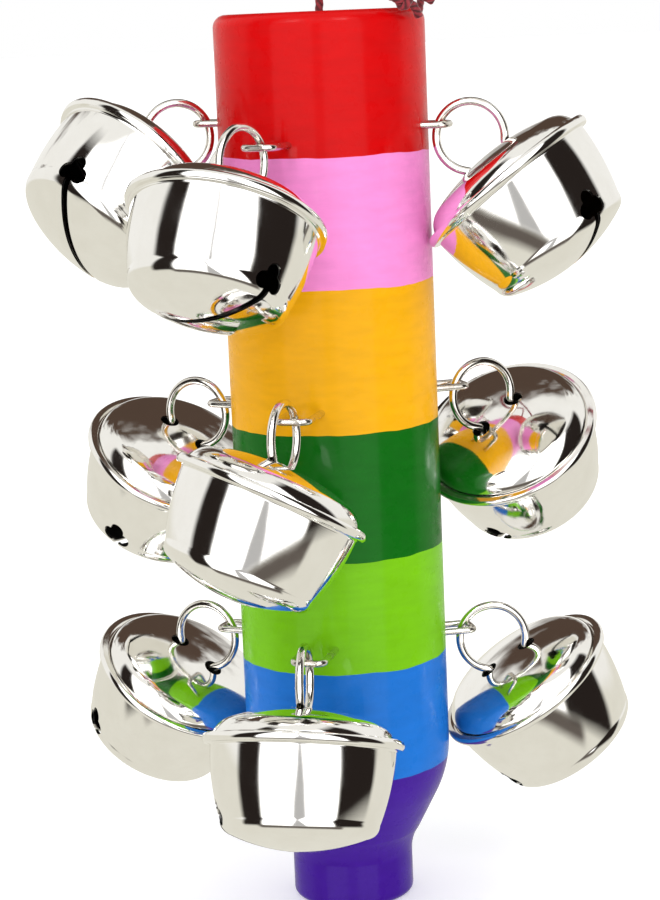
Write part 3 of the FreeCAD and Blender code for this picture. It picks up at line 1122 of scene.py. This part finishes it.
def surround_material():
    """What polished metal mirrors: a pale room and what stands in it.

    In front is a window between two dark sides, parted by a tapering grey stand, and
    below it the edge of a dark table. Dark clutter lies behind and above.
    """
    s = Shader("studio_surround")
    way = s.add("ShaderNodeVectorMath", {0: s.place()}, operation="NORMALIZE").outputs[0]
    x, y, z = (s.part(way, k) for k in "XYZ")
    azimuth = s.math("ARCTAN2", x, s.math("MULTIPLY", y, -1.0))
    azimuth = s.math("MULTIPLY", azimuth, math.degrees(1))
    height = s.math("MULTIPLY", s.math("ARCSINE", z), math.degrees(1))

    def edge(value, middle, soft, ends):
        return s.spread(value, (middle - soft, middle + soft), ends)

    def between(value, low, high, soft):
        rise = edge(value, low, soft, (0.0, 1.0))
        return s.math("MULTIPLY", rise, edge(value, high, soft, (1.0, 0.0)))

    def patch(azimuths, heights, soft):
        across = between(azimuth, *azimuths, soft)
        return s.math("MULTIPLY", across, between(height, *heights, soft * 1.5))

    colour = s.mix(edge(height, HORIZON, 3.0, (1.0, 0.0)), UPPER_WALL, LOWER_WALL)
    colour = s.mix(patch(*TABLE_SPAN, soft=3.0), colour, TABLE)
    behind = s.add("ShaderNodeVectorMath", {0: way, 1: CLUTTER_WAY}, operation="DOT_PRODUCT")
    uneven = s.noise(way, scale=5.0, detail=3.0, roughness=0.6)
    uneven = s.math("MULTIPLY_ADD", uneven, CLUTTER_UNEVEN, -CLUTTER_UNEVEN / 2)
    behind = s.math("ADD", behind.outputs["Value"], uneven)
    colour = s.mix(s.spread(behind, CLUTTER_EDGES, (0.0, 1.0)), colour, CLUTTER)
    for span in DARK_SPANS:
        colour = s.mix(patch(*span, soft=3.5), colour, DARK)
    colour = s.mix(patch(*WINDOW_SPAN, soft=1.5), colour, WINDOW)
    half_width = s.spread(height, STAND_TAPER, STAND_HALF_WIDTHS)
    offset = s.math("ABSOLUTE", s.math("SUBTRACT", azimuth, STAND_AZIMUTH))
    past = s.math("SUBTRACT", offset, half_width)
    shade = edge(past, 0.0, STAND_EDGE, (STAND_STRENGTH, 0.0))
    shade = s.math("MULTIPLY", shade, between(height, *STAND_HEIGHTS, soft=3.0))
    colour = s.mix(shade, colour, STAND)
    glow = s.add("ShaderNodeEmission", {"Color": colour})
    s.join(glow.outputs["Emission"], s.tree.nodes["Material Output"].inputs["Surface"])
    s.tree.nodes.remove(s.surface)
    return s.material


def studio_surround():
    """A ball round the set that only reflections see."""
    rings, around = SURROUND_RINGS, SURROUND_AROUND
    verts, faces = [], []
    for j in range(rings + 1):
        rise = math.pi * (j / rings - 0.5)
        flat = math.cos(rise)
        for k in range(around):
            turn = 2 * math.pi * k / around
            way = Vector((flat * math.cos(turn), flat * math.sin(turn), math.sin(rise)))
            verts.append(way * SURROUND_SIZE)
    for j in range(rings):
        low, high = j * around, (j + 1) * around
        for k in range(around):
            k2 = (k + 1) % around
            faces.append((low + k, low + k2, high + k2, high + k))
    ball = studio_mesh("studio_surround", verts, faces, surround_material())
    ball.location = SURROUND_CENTRE
    ball.visible_camera = False
    ball.visible_diffuse = False
    ball.visible_shadow = False
    ball.visible_transmission = False


def soft_light(name, place):
    data = bpy.data.lights.new(name, "AREA")
    data.shape = "RECTANGLE"
    data.size, data.size_y = LIGHT_WIDTH, LIGHT_HEIGHT
    data.energy = LIGHT_POWER
    light = bpy.data.objects.new(name, data)
    bpy.context.scene.collection.objects.link(light)
    turn = (SURROUND_CENTRE - Vector(place)).to_track_quat("-Z", "Y")
    light.matrix_world = Matrix.Translation(place) @ turn.to_matrix().to_4x4()


def studio():
    """A plain pale floor and sky, two soft lights, and the surround."""
    studio_floor()
    studio_surround()
    world = bpy.data.worlds.new("studio")
    bpy.context.scene.world = world
    world.use_nodes = True
    sky = world.node_tree.nodes["Background"]
    sky.inputs["Color"].default_value = WHITE
    sky.inputs["Strength"].default_value = 1.0
    for name, place in LIGHT_PLACES.items():
        soft_light(name, place)
    bpy.context.scene.view_settings.view_transform = "Standard"


studio()
